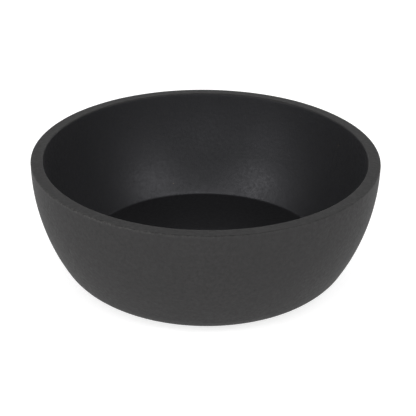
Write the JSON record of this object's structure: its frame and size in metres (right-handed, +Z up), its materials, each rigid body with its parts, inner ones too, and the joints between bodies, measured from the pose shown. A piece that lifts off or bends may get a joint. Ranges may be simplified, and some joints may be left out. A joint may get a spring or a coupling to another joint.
{
  "type": "planter bowl",
  "caption": "Round open planter bowl with a thick flat-cut rim, curved sides and flat floor, a lift-out rubber drain stopper and rubber foot pads.",
  "frame": {"origin": "on the ground, under the centre of the bowl", "axes": "+Z up, along the bowl's axis of symmetry; the foot pads lie on the X and Y axes"},
  "size_m": [0.28, 0.28, 0.1],
  "materials": {
    "bowl": "matt, fine-grained, near-black cast mineral composite with a few pale flecks",
    "stopper": "satin moulded black rubber",
    "pads": "matt black rubber"
  },
  "bodies": {
    "bowl": {"bowl_body": "bowl", "foot_pad_1": "pads", "foot_pad_2": "pads", "foot_pad_3": "pads", "foot_pad_4": "pads"},
    "stopper": {"drain_plug": "stopper"}
  },
  "joints": [
    {"name": "stopper_lift", "type": "slide", "parent": "bowl", "child": "stopper", "axis": [0, 0, 1], "range_m": [0, 0.12]}
  ]
}
